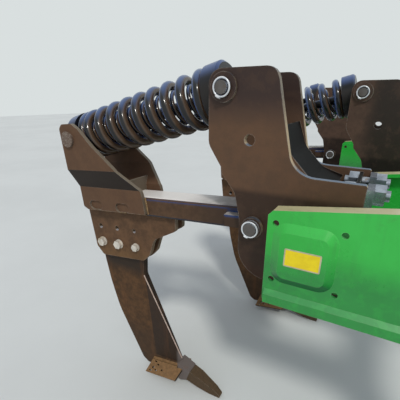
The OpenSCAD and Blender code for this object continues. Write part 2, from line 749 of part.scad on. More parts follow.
// Depth wheels: a square leg in its sleeve, a stub axle, a pressed rim and a ribbed tyre
axle_z = tyre_r - leg_drop;
wheel_y = wheel_leg_y + wheel_leg_w / 2 + 28 + tyre_w / 2;
hub_r = 45;
rim_r = rim_d / 2;
module at_wheel(s) {
    on_frame() mirror([0, s > 0 ? 0 : 1, 0]) translate([wheel_x, wheel_y, axle_z]) children();
}
module wheel_leg(s) {
    w = wheel_leg_w / 2;
    y = wheel_leg_y - wheel_y;
    i = w - wheel_leg_wall;
    color("#2b2b2b") at_wheel(s) {
        difference() {
            box([-w, w], [y - w, y + w], [-50, sleeve_top + 170 - axle_z]);
            box([-i, i], [y - i, y + i], [-51, sleeve_top + 170 - wheel_leg_wall - axle_z]);
        }
        cross_pin(0, 0, stub_d / 2, y, 62);
        cross_pin(0, 0, stub_d / 2 + 14, y + w - 1, y + w + 10);
    }
}
module rim(s) {
    half = tyre_w / 2;
    bore = stub_d / 2 + pin_fit;
    dish = [
        [bore, -half + 2], [hub_r, -half + 2], [hub_r, -6], [rim_r - 20, -6], [rim_r - 20, -half + 18],
        [rim_r - 6, -half + 10], [rim_r + 10, -half + 8], [rim_r + 10, -half + 14], [rim_r, -half + 20],
        [rim_r, half - 20], [rim_r + 10, half - 14], [rim_r + 10, half - 8], [rim_r - 6, half - 10],
        [rim_r - 20, half - 18], [rim_r - 20, 6], [hub_r, 6], [hub_r, half - 40], [bore, half - 40]
    ];
    color("gainsboro") at_wheel(s) rotate([-90, 0, 0]) difference() {
        rotate_extrude($fn = 64) polygon(dish);
        for (a = [0:60:300]) rotate([0, 0, a]) translate([105, 0, -20]) cylinder(r = 17, h = 40);
    }
}
module tyre(s) {
    half = tyre_w / 2;
    groove = 7;
    seat = rim_r + 0.2;
    side = rounded([
        [seat, -half + 20.4, 0], [seat + 10, -half + 14.4, 0], [seat + 10, -half + 7, 0],
        [rim_r + 50, -half, 40], [tyre_r - 22, -half, 16],
        [tyre_r - 8, -half + 14, 14], [tyre_r, -54, 6], [tyre_r, -34, 0], [tyre_r - groove, -32, 0],
        [tyre_r - groove, -24, 0], [tyre_r, -22, 0], [tyre_r, 22, 0], [tyre_r - groove, 24, 0],
        [tyre_r - groove, 32, 0], [tyre_r, 34, 0], [tyre_r, 54, 6], [tyre_r - 8, half - 14, 14],
        [tyre_r - 22, half, 16], [rim_r + 50, half, 40], [seat + 10, half - 7, 0],
        [seat + 10, half - 14.4, 0], [seat, half - 20.4, 0]
    ]);
    color("#1c1c1c") at_wheel(s) rotate([-90, 0, 0]) rotate_extrude($fn = 64) polygon(side);
}

bracket(0);  // bracket_right
bracket(1);  // bracket_centre
bracket(2);  // bracket_left
pins(0);  // pins_right
pins(1);  // pins_centre
pins(2);  // pins_left
studs(0);  // studs_right
studs(1);  // studs_centre
studs(2);  // studs_left
arm(0);  // arm_right
arm(1);  // arm_centre
arm(2);  // arm_left
ears(0);  // ears_right
ears(1);  // ears_centre
ears(2);  // ears_left
cheeks(0);  // cheeks_right
cheeks(1);  // cheeks_centre
cheeks(2);  // cheeks_left
shank(0);  // shank_right
shank(1);  // shank_centre
shank(2);  // shank_left
point(0);  // point_right
point(1);  // point_centre
point(2);  // point_left
wings(0);  // wings_right
wings(1);  // wings_centre
wings(2);  // wings_left
leg_bolts(0);  // leg_bolts_right
leg_bolts(1);  // leg_bolts_centre
leg_bolts(2);  // leg_bolts_left
spring(0);  // spring_right
spring(1);  // spring_centre
spring(2);  // spring_left
front_guide(0);  // front_guide_right
front_guide(1);  // front_guide_centre
front_guide(2);  // front_guide_left
rear_guide(0);  // rear_guide_right
rear_guide(1);  // rear_guide_centre
rear_guide(2);  // rear_guide_left
side_plates(-1);  // side_plates_right
side_plates(1);  // side_plates_left
toolbars();
front_beam();
mast();
lower_hitch();
hitch_pins();
wheel_leg(-1);  // wheel_leg_right
wheel_leg(1);  // wheel_leg_left
rim(-1);  // rim_right
rim(1);  // rim_left
tyre(-1);  // tyre_right
tyre(1);  // tyre_left
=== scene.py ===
import json
import math

import bpy
from mathutils import Matrix, Vector


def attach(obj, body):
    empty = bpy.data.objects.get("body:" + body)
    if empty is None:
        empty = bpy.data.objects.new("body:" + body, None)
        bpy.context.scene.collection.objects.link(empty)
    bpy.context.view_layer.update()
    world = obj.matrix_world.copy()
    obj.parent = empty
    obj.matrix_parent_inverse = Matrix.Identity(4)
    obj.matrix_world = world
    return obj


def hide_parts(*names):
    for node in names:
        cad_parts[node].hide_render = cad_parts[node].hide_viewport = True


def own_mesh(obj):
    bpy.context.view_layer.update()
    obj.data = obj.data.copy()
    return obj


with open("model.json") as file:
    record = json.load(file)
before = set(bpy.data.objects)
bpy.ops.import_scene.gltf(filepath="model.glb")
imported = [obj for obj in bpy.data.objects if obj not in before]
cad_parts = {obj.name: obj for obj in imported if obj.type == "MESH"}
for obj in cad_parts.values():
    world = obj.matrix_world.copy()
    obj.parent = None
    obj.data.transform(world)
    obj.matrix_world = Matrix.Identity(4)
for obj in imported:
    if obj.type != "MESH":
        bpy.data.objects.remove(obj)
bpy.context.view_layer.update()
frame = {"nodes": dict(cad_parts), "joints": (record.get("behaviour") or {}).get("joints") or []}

legUnits = ["right", "centre", "left"]
wheelSides = ["right", "left"]
jointPlace = {j["name"]: Vector(j["pos_m"]) for j in frame["joints"] if "pos_m" in j}


# ---- small helpers -------------------------------------------------------
def hexColour(text):
    parts = [int(text[i:i + 2], 16) / 255 for i in (1, 3, 5)]
    linear = [p / 12.92 if p <= 0.04045 else ((p + 0.055) / 1.055) ** 2.4 for p in parts]
    return (*linear, 1.0)


def onlySelect(piece):
    bpy.ops.object.select_all(action="DESELECT")
    piece.select_set(True)
    bpy.context.view_layer.objects.active = piece


def newPiece(name):
    # the primitive just added, renamed, alone in the selection
    piece = bpy.context.active_object
    piece.name = name
    piece.data.name = name
    onlySelect(piece)
    return piece


def openEdit(piece):
    onlySelect(piece)
    bpy.ops.object.mode_set(mode="EDIT")
    bpy.ops.mesh.select_all(action="DESELECT")


def closeEdit():
    bpy.ops.object.mode_set(mode="OBJECT")


def settle(piece):
    # the place goes into the mesh, the object stays at the origin
    onlySelect(piece)
    bpy.ops.object.transform_apply(location=True, rotation=True, scale=True)


def applyModifiers(piece):
    onlySelect(piece)
    for modifier in list(piece.modifiers):
        bpy.ops.object.modifier_apply(modifier=modifier.name)


def cleanNormals(piece):
    openEdit(piece)
    bpy.ops.mesh.select_all(action="SELECT")
    bpy.ops.mesh.remove_doubles(threshold=0.00001)
    bpy.ops.mesh.normals_make_consistent(inside=False)
    closeEdit()


def finishPiece(piece, body, material, smooth=None):
    settle(piece)
    if smooth is not None:
        bpy.ops.object.shade_smooth_by_angle(angle=math.radians(smooth))
    if not piece.data.materials:
        piece.data.materials.append(material)
    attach(piece, body)
    return piece


# ---- shared shader groups ------------------------------------------------
def startGroup(name, ins, outs):
    group = bpy.data.node_groups.new(name, "ShaderNodeTree")
    for label, value in ins:
        socket = group.interface.new_socket(name=label, in_out="INPUT", socket_type="NodeSocketFloat")
        socket.default_value = value
    for label in outs:
        group.interface.new_socket(name=label, in_out="OUTPUT", socket_type="NodeSocketFloat")
    return group, group.nodes.new("NodeGroupInput"), group.nodes.new("NodeGroupOutput")


def mathNode(tree, operation, a, b=None, clamp=False):
    node = tree.nodes.new("ShaderNodeMath")
    node.operation = operation
    node.use_clamp = clamp
    for index, value in enumerate((a, b)):
        if value is None:
            continue
        if isinstance(value, (int, float)):
            node.inputs[index].default_value = value
        else:
            tree.links.new(value, node.inputs[index])
    return node.outputs[0]


def rampNode(tree, value, low, high, outLow=0.0, outHigh=1.0):
    node = tree.nodes.new("ShaderNodeMapRange")
    node.interpolation_type = "SMOOTHSTEP"
    tree.links.new(value, node.inputs["Value"])
    for label, number in (("From Min", low), ("From Max", high), ("To Min", outLow), ("To Max", outHigh)):
        if isinstance(number, (int, float)):
            node.inputs[label].default_value = number
        else:
            tree.links.new(number, node.inputs[label])
    return node.outputs["Result"]


def noiseNode(tree, vector, scale, detail=4.0, roughness=0.6, distortion=0.0):
    node = tree.nodes.new("ShaderNodeTexNoise")
    tree.links.new(vector, node.inputs["Vector"])
    if isinstance(scale, (int, float)):
        node.inputs["Scale"].default_value = scale
    else:
        tree.links.new(scale, node.inputs["Scale"])
    node.inputs["Detail"].default_value = detail
    node.inputs["Roughness"].default_value = roughness
    node.inputs["Distortion"].default_value = distortion
    return node.outputs["Fac"]


def buildWornEdges():
    # Mask is 1 along a solid's edges, broken up as paint wears; the second output marks edges that round over upward,
    # for a painted sky glint
    group, ins, outs = startGroup("wornEdgesAndGlint", [("Width", 0.003), ("Breakup", 30.0), ("Strength", 1.0)],
                                  ["Mask", "PaintedGlint"])
    bevel = group.nodes.new("ShaderNodeBevel")
    bevel.samples = 4
    group.links.new(ins.outputs["Width"], bevel.inputs["Radius"])
    face = group.nodes.new("ShaderNodeNewGeometry")
    dot = group.nodes.new("ShaderNodeVectorMath")
    dot.operation = "DOT_PRODUCT"
    group.links.new(bevel.outputs["Normal"], dot.inputs[0])
    group.links.new(face.outputs["Normal"], dot.inputs[1])
    turned = mathNode(group, "SUBTRACT", 1.0, dot.outputs["Value"])
    edge = rampNode(group, turned, 0.015, 0.12)
    place = group.nodes.new("ShaderNodeTexCoord")
    patchy = rampNode(group, noiseNode(group, place.outputs["Object"], ins.outputs["Breakup"]), 0.36, 0.58)
    worn = mathNode(group, "MULTIPLY", edge, patchy)
    group.links.new(mathNode(group, "MULTIPLY", worn, ins.outputs["Strength"], clamp=True), outs.inputs["Mask"])
    leans = []
    for source in (bevel.outputs["Normal"], face.outputs["Normal"]):
        axes = group.nodes.new("ShaderNodeSeparateXYZ")
        group.links.new(source, axes.inputs[0])
        leans.append(axes.outputs["Z"])
    group.links.new(rampNode(group, mathNode(group, "SUBTRACT", *leans), 0.02, 0.12), outs.inputs["PaintedGlint"])
    return group


def buildSoilFilm():
    # dried soil: Mask says where it lies, Tone how dark it is, Streak where rain drew it down
    group, ins, outs = startGroup("soilFilm", [("Scale", 6.0), ("Cover", 0.7)], ["Mask", "Tone", "Streak"])
    place = group.nodes.new("ShaderNodeTexCoord")
    blotch = noiseNode(group, place.outputs["Object"], ins.outputs["Scale"], 6.0, 0.62, 0.4)
    fineScale = mathNode(group, "MULTIPLY", ins.outputs["Scale"], 7.0)
    fine = noiseNode(group, place.outputs["Object"], fineScale, 5.0, 0.7)
    both = mathNode(group, "ADD", mathNode(group, "MULTIPLY", blotch, 0.7), mathNode(group, "MULTIPLY", fine, 0.3))
    bare = mathNode(group, "SUBTRACT", 1.0, ins.outputs["Cover"])
    low = mathNode(group, "ADD", mathNode(group, "MULTIPLY", bare, 0.5), 0.16)
    high = mathNode(group, "ADD", low, 0.16)
    group.links.new(rampNode(group, both, low, high), outs.inputs["Mask"])
    group.links.new(rampNode(group, fine, 0.32, 0.68), outs.inputs["Tone"])
    stretch = group.nodes.new("ShaderNodeMapping")
    stretch.inputs["Scale"].default_value = (26.0, 26.0, 2.2)
    group.links.new(place.outputs["Object"], stretch.inputs["Vector"])
    group.links.new(rampNode(group, noiseNode(group, stretch.outputs["Vector"], 1.0), 0.52, 0.72),
                    outs.inputs["Streak"])
    return group


def buildFaceSides():
    # which way a face looks on its own piece: up, down, forward, or slanting forward as the ground shin does
    group, ins, outs = startGroup("faceSides", [], ["Up", "Down", "Fore", "Back", "Slant", "Side", "Wall"])
    place = group.nodes.new("ShaderNodeTexCoord")
    axes = group.nodes.new("ShaderNodeSeparateXYZ")
    group.links.new(place.outputs["Normal"], axes.inputs[0])
    group.links.new(rampNode(group, axes.outputs["Z"], 0.45, 0.85), outs.inputs["Up"])
    group.links.new(rampNode(group, axes.outputs["Z"], -0.12, -0.4), outs.inputs["Down"])
    group.links.new(rampNode(group, axes.outputs["X"], 0.5, 0.8), outs.inputs["Fore"])
    group.links.new(rampNode(group, axes.outputs["X"], -0.15, -0.6), outs.inputs["Back"])
    slight = rampNode(group, axes.outputs["X"], 0.015, 0.045)
    sideways = rampNode(group, mathNode(group, "ABSOLUTE", axes.outputs["Y"]), 0.9, 0.98)
    group.links.new(mathNode(group, "MULTIPLY", slight, sideways), outs.inputs["Slant"])
    group.links.new(sideways, outs.inputs["Side"])
    steep = rampNode(group, mathNode(group, "ABSOLUTE", axes.outputs["Z"]), 0.72, 0.64)
    group.links.new(steep, outs.inputs["Wall"])
    return group


wornEdgesAndGlint = buildWornEdges()
soilFilm = buildSoilFilm()
faceSides = buildFaceSides()
print("shader groups ready")


# ---- finishes ------------------------------------------------------------
def placeGroup(tree, group, **values):
    node = tree.nodes.new("ShaderNodeGroup")
    node.node_tree = group
    for label, value in values.items():
        node.inputs[label].default_value = value
    return node


def mixColour(tree, factor, a, b):
    node = tree.nodes.new("ShaderNodeMix")
    node.data_type = "RGBA"
    if isinstance(factor, (int, float)):
        node.inputs[0].default_value = factor
    else:
        tree.links.new(factor, node.inputs[0])
    for index, value in ((6, a), (7, b)):
        if isinstance(value, tuple):
            node.inputs[index].default_value = value
        else:
            tree.links.new(value, node.inputs[index])
    return node.outputs[2]


def mixValue(tree, factor, a, b):
    # a and b are numbers or sockets
    step = mathNode(tree, "SUBTRACT", b, a) if isinstance(a, (int, float)) else mathNode(
        tree, "ADD", mathNode(tree, "MULTIPLY", a, -1.0), b)
    return mathNode(tree, "ADD", mathNode(tree, "MULTIPLY", factor, step), a)


def makeFinish(name, look):
    material = bpy.data.materials.new(name)
    material.use_nodes = True
    tree = material.node_tree
    shader = tree.nodes["Principled BSDF"]
    place = tree.nodes.new("ShaderNodeTexCoord").outputs["Object"]
    sides = placeGroup(tree, faceSides)
    soil = placeGroup(tree, soilFilm, Scale=look["soilScale"], Cover=look["cover"])
    mottle = rampNode(tree, noiseNode(tree, place, look["mottleScale"], 6.0, 0.65, 0.3), 0.35, 0.66)
    colour = mixColour(tree, mottle, hexColour(look["paint"][0]), hexColour(look["paint"][1]))
    rough = mixValue(tree, mottle, look["rough"][0], look["rough"][0] + 0.08)
    # tones by which way a face looks; most looks use them for painted light and shade, as told at each look, and soil
    # is then cleared from the sides a look lists so those tones show
    for side in ("Down", "Fore", "Back", "Up", "Slant", "Side", "Wall"):
        if side in look:
            tone, amount, smoothness = look[side]
            share = mathNode(tree, "MULTIPLY", sides.outputs[side], amount)
            colour = mixColour(tree, share, colour, hexColour(tone))
            rough = mixValue(tree, share, rough, smoothness)
    lay = soil.outputs["Mask"]
    for side in look.get("cleanSides", []):
        keep = mathNode(tree, "SUBTRACT", 1.0, mathNode(tree, "MULTIPLY", sides.outputs[side], look["cleanShare"]))
        lay = mathNode(tree, "MULTIPLY", lay, keep)
    dust = mixColour(tree, soil.outputs["Tone"], hexColour(look["soil"][0]), hexColour(look["soil"][1]))
    colour = mixColour(tree, lay, colour, dust)
    rough = mixValue(tree, lay, rough, look["rough"][1])
    axes = tree.nodes.new("ShaderNodeSeparateXYZ")
    tree.links.new(place, axes.inputs[0])
    for axis, start, end, tone, amount, smoothness in look.get("bands", []):
        share = mathNode(tree, "MULTIPLY", rampNode(tree, axes.outputs[axis], start, end), amount)
        share = mathNode(tree, "MULTIPLY", share, rampNode(tree, soil.outputs["Tone"], 0.0, 0.6, 0.75, 1.0))
        colour = mixColour(tree, share, colour, hexColour(tone))
        rough = mixValue(tree, share, rough, smoothness)
    if "corner" in look:
        high, low, back, front, tone, amount, smoothness = look["corner"]
        share = mathNode(tree, "MULTIPLY", rampNode(tree, axes.outputs["Z"], high, low),
                         rampNode(tree, axes.outputs["X"], back, front, 0.0, amount))
        colour = mixColour(tree, share, colour, hexColour(tone))
        rough = mixValue(tree, share, rough, smoothness)
    # painted highlight on up faces above a given height
    if "top" in look:
        start, tone, amount, smoothness = look["top"]
        share = mathNode(tree, "MULTIPLY", rampNode(tree, axes.outputs["Z"], start, start + 0.01), amount)
        share = mathNode(tree, "MULTIPLY", share, sides.outputs["Up"])
        colour = mixColour(tree, share, colour, hexColour(tone))
        rough = mixValue(tree, share, rough, smoothness)
    webShade = None
    if "between" in look:
        # painted shade: the web between a unit's two plates turns near-black and metallic, so it gives no sheen back,
        # however many units stand side by side
        halfGap, tone, amount, smoothness = look["between"]
        offset = tree.nodes.new("ShaderNodeMath")
        offset.operation = "PINGPONG"
        tree.links.new(axes.outputs["Y"], offset.inputs[0])
        offset.inputs[1].default_value = 0.4
        inside = mathNode(tree, "LESS_THAN", offset.outputs[0], halfGap)
        notPlate = mathNode(tree, "SUBTRACT", 1.0, sides.outputs["Side"])
        share = mathNode(tree, "MULTIPLY", mathNode(tree, "MULTIPLY", inside, notPlate), amount)
        colour = mixColour(tree, share, colour, hexColour(tone))
        rough = mixValue(tree, share, rough, smoothness)
        webShade = share
    if "streak" in look:
        drawn = mathNode(tree, "MULTIPLY", soil.outputs["Streak"], look["streak"][1])
        colour = mixColour(tree, drawn, colour, hexColour(look["streak"][0]))
    metal = webShade
    if "bare" in look:
        edges = placeGroup(tree, wornEdgesAndGlint, Width=look["bare"][1], Strength=look["bare"][2])
        colour = mixColour(tree, edges.outputs["Mask"], colour, hexColour(look["bare"][0]))
        rough = mixValue(tree, edges.outputs["Mask"], rough, 0.34)
        metal = mathNode(tree, "MULTIPLY", edges.outputs["Mask"], 0.55)
        if webShade is not None:
            metal = mathNode(tree, "MAXIMUM", metal, webShade)
    # painted sky reflection along upper rounded edges, on the side faces
    if "paintedEdgeGlint" in look:
        round = placeGroup(tree, wornEdgesAndGlint, Width=look["paintedEdgeGlint"][1])
        share = mathNode(tree, "MULTIPLY", round.outputs["PaintedGlint"], sides.outputs["Side"])
        colour = mixColour(tree, share, colour, hexColour(look["paintedEdgeGlint"][0]))
        rough = mixValue(tree, share, rough, 0.25)
    tree.links.new(colour, shader.inputs["Base Color"])
    tree.links.new(rough, shader.inputs["Roughness"])
    shader.inputs["Specular IOR Level"].default_value = look.get("specular", 0.5)
    if look.get("metal"):
        shader.inputs["Metallic"].default_value = look["metal"]
    elif metal is not None:
        tree.links.new(metal, shader.inputs["Metallic"])
    shader.inputs["Coat Weight"].default_value = look.get("coat", 0.0)
    shader.inputs["Coat Roughness"].default_value = look.get("coatRough", 0.15)
    bump = tree.nodes.new("ShaderNodeBump")
    bump.inputs["Strength"].default_value = look["bump"][1]
    bump.inputs["Distance"].default_value = 0.001
    grain = noiseNode(tree, place, look["bump"][0], 5.0, 0.65)
    height = mathNode(tree, "ADD", grain, mathNode(tree, "MULTIPLY", lay, 0.8))
    tree.links.new(height, bump.inputs["Height"])
    tree.links.new(bump.outputs["Normal"], shader.inputs["Normal"])
    return material


# Fore, Up and Down tones are painted light: tan fronts are a painted highlight, blue-grey up faces a painted sky
# reflection, near-black down faces painted shade; soil is cleared from these sides so the tones show
plateLook = {
    "paint": ("#1a1716", "#2b2420"), "soil": ("#5c4636", "#664c39"), "soilScale": 3.2, "cover": 0.93,
    "mottleScale": 9.0, "rough": (0.3, 0.72), "bare": ("#b9b2a8", 0.004, 0.4), "bump": (60.0, 0.25), "specular": 0.25,
    "Fore": ("#d3bf9d", 0.95, 0.4), "Down": ("#1d1713", 0.95, 0.6), "Up": ("#8398ae", 0.75, 0.4),
    "cleanSides": ["Down", "Fore", "Up"], "cleanShare": 0.9,
}
finishLooks = {
    "plate": {
        **plateLook, "between": (0.0994, "#04070b", 1.0, 0.5),
        # bands of painted shade: darker towards the top and below about 1.07 m; redder brown towards the bottom
        "bands": [("Z", 1.24, 1.35, "#2c2325", 0.8, 0.35), ("Z", 1.09, 1.065, "#251a15", 0.75, 0.45),
                  ("Z", 0.86, 0.78, "#3f2416", 0.7, 0.6)],
    },
    # a darker copy of the plate for the centre and left units: painted shade, darker still further forward along X
    # and below about 1.07 m
    "platePaintedShade": {
        **plateLook, "soil": ("#5c473b", "#4c3b32"), "between": (0.0994, "#04070b", 1.0, 0.5),
        "bands": [("X", 0.02, 0.11, "#292420", 0.85, 0.35), ("Z", 1.09, 1.065, "#181210", 0.75, 0.45),
                  ("Z", 0.86, 0.78, "#3f2416", 0.7, 0.6)],
    },
    # lighter fronts and up faces: painted light
    "ear": {
        **plateLook, "soil": ("#5d4534", "#664c38"), "Fore": ("#8d8170", 0.6, 0.45), "Up": ("#9a8f7c", 0.6, 0.45),
    },
    # lit fronts and bright up faces, such as the lower walls of the foot slots, are painted highlight
    "cheek": {
        **plateLook, "soil": ("#553f2d", "#6b4f38"), "cover": 0.95, "Fore": ("#a08a6c", 0.45, 0.5),
        "Up": ("#c9ccd4", 0.8, 0.3), "bands": [("Z", 0.74, 0.66, "#7a5c36", 0.35, 0.7)],
    },
    # painted light on the arm: near-white up faces are a painted sky highlight, blue fronts and a blue line along the
    # upper edges are painted sky reflection; soil is cleared from these sides
    "arm": {
        "paint": ("#15151a", "#26221f"), "soil": ("#4a3626", "#5c4430"), "soilScale": 4.0, "cover": 0.9,
        "mottleScale": 7.0, "rough": (0.2, 0.66), "paintedEdgeGlint": ("#1f4a86", 0.014), "bump": (50.0, 0.2),
        "specular": 0.3, "Up": ("#f4f1ec", 0.98, 0.35), "Fore": ("#20304a", 0.8, 0.3),
        "cleanSides": ["Up", "Down", "Fore"], "cleanShare": 0.97, "bands": [("X", -0.5, -0.3, "#2d2119", 0.6, 0.45)],
    },
    # the dark front face is painted shade
    "shank": {
        "paint": ("#32251a", "#231b14"), "soil": ("#44301e", "#5f4329"), "soilScale": 4.5, "cover": 0.8,
        "mottleScale": 5.0, "specular": 0.3, "rough": (0.45, 0.8), "bare": ("#8c7a68", 0.003, 0.35), "bump": (90.0, 0.5),
        "Slant": ("#2a1e17", 0.9, 0.6), "Fore": ("#171210", 0.85, 0.5), "cleanSides": ["Slant", "Fore"],
        "cleanShare": 0.85, "streak": ("#7c4f2c", 0.22),
        "bands": [("Z", 0.53, 0.6, "#1f1812", 0.85, 0.6), ("Z", 0.3, 0.18, "#2e2116", 0.5, 0.6)],
        "corner": (0.19, 0.165, -0.572, -0.552, "#6d6562", 0.85, 0.45),
    },
    "point": {
        "paint": ("#40352a", "#28211b"), "soil": ("#43341f", "#54402a"), "soilScale": 14.0, "cover": 0.75,
        "mottleScale": 16.0, "rough": (0.45, 0.8), "bare": ("#a09488", 0.004, 0.6), "bump": (110.0, 0.6),
    },
    # steep walls, the walls of the wing's holes among them, are painted near-black: painted shade
    "wing": {
        "paint": ("#7d5f3a", "#6a4d2c"), "soil": ("#6b5030", "#866540"), "soilScale": 9.0, "cover": 0.7,
        "mottleScale": 12.0, "rough": (0.5, 0.8), "bare": ("#93703f", 0.003, 0.5), "bump": (80.0, 0.35),
        "Wall": ("#0a0806", 0.95, 0.8), "cleanSides": ["Wall"], "cleanShare": 0.95,
    },
    # painted reflections: blue sky on the rear and up faces, brown ground on the front faces; near-black down faces
    # are painted shade
    "coil": {
        "paint": ("#0b0c10", "#15161b"), "soil": ("#3d342b", "#55483a"), "soilScale": 16.0, "cover": 0.1,
        "mottleScale": 20.0, "rough": (0.26, 0.6), "bump": (80.0, 0.1), "coat": 0.55, "coatRough": 0.06,
        "specular": 0.25, "Fore": ("#5a4736", 0.85, 0.3), "Back": ("#4b669a", 0.8, 0.22),
        "Up": ("#4c6596", 0.8, 0.25), "Down": ("#050506", 0.9, 0.4),
    },
    # painted light: blue sky reflection on up faces, painted shade on down faces and darker side faces
    "guide": {
        "paint": ("#101218", "#1b1c22"), "soil": ("#3f352c", "#54473a"), "soilScale": 8.0, "cover": 0.15,
        "mottleScale": 12.0, "rough": (0.3, 0.6), "bump": (60.0, 0.15), "coat": 0.15,
        "specular": 0.25, "Side": ("#221f1d", 0.9, 0.5), "Up": ("#4a6295", 0.8, 0.3), "Down": ("#060608", 0.9, 0.4),
        "bare": ("#6e7898", 0.002, 0.3),
    },
    "zinc": {
        "paint": ("#b4bbc6", "#8a919c"), "soil": ("#5a4a3c", "#76644f"), "soilScale": 20.0, "cover": 0.25,
        "mottleScale": 26.0, "rough": (0.25, 0.6), "bump": (120.0, 0.15), "metal": 0.75,
    },
    "pinZinc": {
        "paint": ("#c2c9d4", "#9aa1ac"), "soil": ("#5a4a3c", "#76644f"), "soilScale": 20.0, "cover": 0.2,
        "mottleScale": 26.0, "rough": (0.22, 0.6), "bump": (120.0, 0.3), "metal": 0.6,
        "Side": ("#4e4234", 0.85, 0.6),
    },
    "ringSteel": {
        "paint": ("#eceff2", "#d3d8de"), "soil": ("#8a7d6d", "#a5977f"), "soilScale": 40.0, "cover": 0.15,
        "mottleScale": 50.0, "rough": (0.25, 0.5), "bump": (160.0, 0.1), "metal": 0.2,
    },
    "zincBright": {
        "paint": ("#e6dfd2", "#c9c4ba"), "soil": ("#a89a80", "#c4b698"), "soilScale": 24.0, "cover": 0.25,
        "mottleScale": 30.0, "rough": (0.34, 0.6), "bump": (120.0, 0.15), "metal": 0.2,
        "bands": [("Z", 1.05, 1.06, "#5c4638", 0.95, 0.6)],
    },
    # painted light: lighter up faces, a cream painted highlight on top faces above 1.05 m, painted shade on down
    # faces and a painted shadow darkening it below 1.0 m
    "green": {
        "paint": ("#27b53c", "#33c64a"), "soil": ("#3d9443", "#4b8a41"), "soilScale": 4.0, "cover": 0.15,
        "mottleScale": 2.5, "rough": (0.24, 0.6), "bare": ("#a9c7a0", 0.0025, 0.35), "bump": (40.0, 0.08),
        "coat": 0.3, "Up": ("#74cf86", 0.5, 0.3), "Down": ("#124233", 0.85, 0.4), "streak": ("#35763c", 0.25),
        "top": (1.05, "#cdbf98", 0.9, 0.35), "bands": [("Z", 1.0, 0.9, "#1c6a3a", 0.6, 0.3)],
    },
    "wheelLeg": {
        "paint": ("#1b1b1c", "#2a2829"), "soil": ("#4d3f32", "#5d4a39"), "soilScale": 7.0, "cover": 0.35,
        "mottleScale": 14.0, "rough": (0.35, 0.75), "bare": ("#8d8d8a", 0.003, 0.5), "bump": (60.0, 0.2),
    },
    "rim": {
        "paint": ("#b4b7b8", "#a0a3a4"), "soil": ("#75675a", "#8c7c6a"), "soilScale": 6.0, "cover": 0.38,
        "mottleScale": 12.0, "rough": (0.4, 0.75), "bare": ("#6b4a34", 0.004, 0.45), "bump": (60.0, 0.15),
    },
    "rubber": {
        "paint": ("#1a1a1a", "#252423"), "soil": ("#584a3c", "#6b5b4a"), "soilScale": 9.0, "cover": 0.45,
        "mottleScale": 30.0, "rough": (0.75, 0.9), "bump": (160.0, 0.4),
    },
    "weld": {
        "paint": ("#a98d62", "#7b6142"), "soil": ("#5c452f", "#6e5438"), "soilScale": 18.0, "cover": 0.45,
        "mottleScale": 35.0, "rough": (0.4, 0.7), "bump": (140.0, 0.3), "specular": 0.4,
    },
    # the bright strip down the near front edge of each shank: worn edge and painted highlight
    "bead": {
        "paint": ("#d9c3b6", "#b79f92"), "soil": ("#8a735f", "#a08872"), "soilScale": 30.0, "cover": 0.25,
        "mottleScale": 40.0, "rough": (0.35, 0.6), "bump": (120.0, 0.2), "metal": 0.3,
    },
}
# the centre unit stands further forward, and its nose with it
noseLook = finishLooks["shank"]["corner"]
forward = jointPlace["trip_centre"].x - jointPlace["trip_right"].x
finishLooks["shankCentre"] = {
    **finishLooks["shank"],
    "corner": (*noseLook[:2], noseLook[2] + forward, noseLook[3] + forward, *noseLook[4:]),
}
finishes = {name: makeFinish(name + "Finish", look) for name, look in finishLooks.items()}

nodeFinish = {
    "bracket": "plate", "pins": "pinZinc", "studs": "zinc", "arm": "arm", "ears": "ear", "cheeks": "cheek",
    "shank": "shank", "point": "point", "wings": "wing", "leg_bolts": "zincBright", "spring": "coil",
    "front_guide": "guide", "rear_guide": "guide", "side_plates": "green", "toolbars": "green",
    "front_beam": "green", "mast": "green", "lower_hitch": "green", "hitch_pins": "zinc",
    "wheel_leg": "wheelLeg", "rim": "rim", "tyre": "rubber",
}
for nodeName, solid in frame["nodes"].items():
    family = nodeName
    for side in legUnits:
        family = family.removesuffix("_" + side)
    finish = nodeFinish[family]
    # the centre and left units take the darker painted-shade copy of the plate
    if finish == "plate" and not nodeName.endswith("_right"):
        finish = "platePaintedShade"
    if nodeName == "shank_centre":
        finish = "shankCentre"
    for place in solid.material_slots:
        place.material = finishes[finish]
print("finishes on", len(frame["nodes"]), "solids")


# ---- coil springs --------------------------------------------------------
springSet = {
    "frontSeat": 0.091, "rearSeat": 0.022, "gap": 0.0003, "pointsPerTurn": 40, "shortens": 0.141,
    "coils": {
        "outerCoil": {"radius": 0.079, "wire": 0.0165, "turns": 9.9, "frontClosed": 0.5, "frontAdvance": 0.008,
                      "rearClosed": 1.4, "rearAdvance": 0.0335, "start": 24.0},
        "innerCoil": {"radius": 0.0547, "wire": 0.0071, "turns": 10.45, "frontClosed": 0.6,
                      "frontAdvance": 0.015, "rearClosed": 1.5, "rearAdvance": 0.0145, "start": 65.0},
    },
}


def coilAdvance(t, length, s, c):
    # distance from the front pin, for a number of turns from the front end
    closed = c["frontClosed"] * c["frontAdvance"] + c["rearClosed"] * c["rearAdvance"]
    pitch = (length - 2 * (c["wire"] + s["gap"]) - closed) / (c["turns"] - c["frontClosed"] - c["rearClosed"])
    rear = c["turns"] - c["rearClosed"]
    return (s["frontSeat"] + s["gap"] + c["wire"] + min(t, c["frontClosed"]) * c["frontAdvance"]
            + max(0, min(t, rear) - c["frontClosed"]) * pitch + max(0, t - rear) * c["rearAdvance"])


